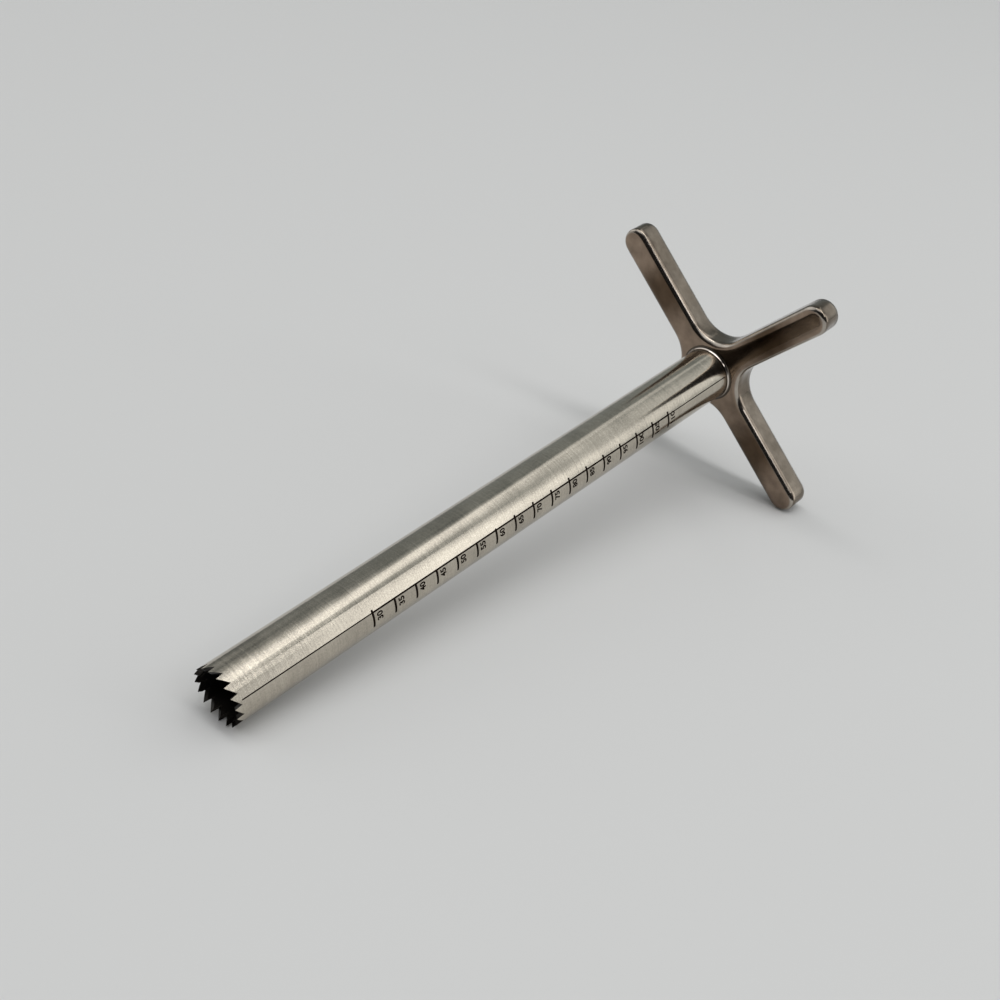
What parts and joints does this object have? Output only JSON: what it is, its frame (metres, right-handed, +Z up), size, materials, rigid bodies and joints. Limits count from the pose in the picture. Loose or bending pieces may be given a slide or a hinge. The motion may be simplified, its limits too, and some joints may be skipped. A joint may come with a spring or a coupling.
{
  "type": "hand trepan",
  "caption": "Hand trepan: a hollow steel saw tube with a raked, bevelled tooth crown and a depth scale, brazed into a cross handle with rounded arms.",
  "frame": {"origin": "centre of the tool's box on the floor that it lies on", "axes": "+X along the floor from the saw crown towards the handle, +Z up from the floor; the tube's axis lies in the XZ plane and rises 8.5 degrees towards the handle"},
  "size_m": [0.1378, 0.05, 0.05],
  "materials": {
    "tube_steel": "satin, finely turned around the tube",
    "braze_metal": "bright, smooth",
    "handle_steel": "polished, slightly clouded by cleaning"
  },
  "bodies": {
    "root": {"cutting_tube": "tube_steel", "braze_ring": "braze_metal", "cross_handle": "handle_steel"}
  },
  "joints": []
}
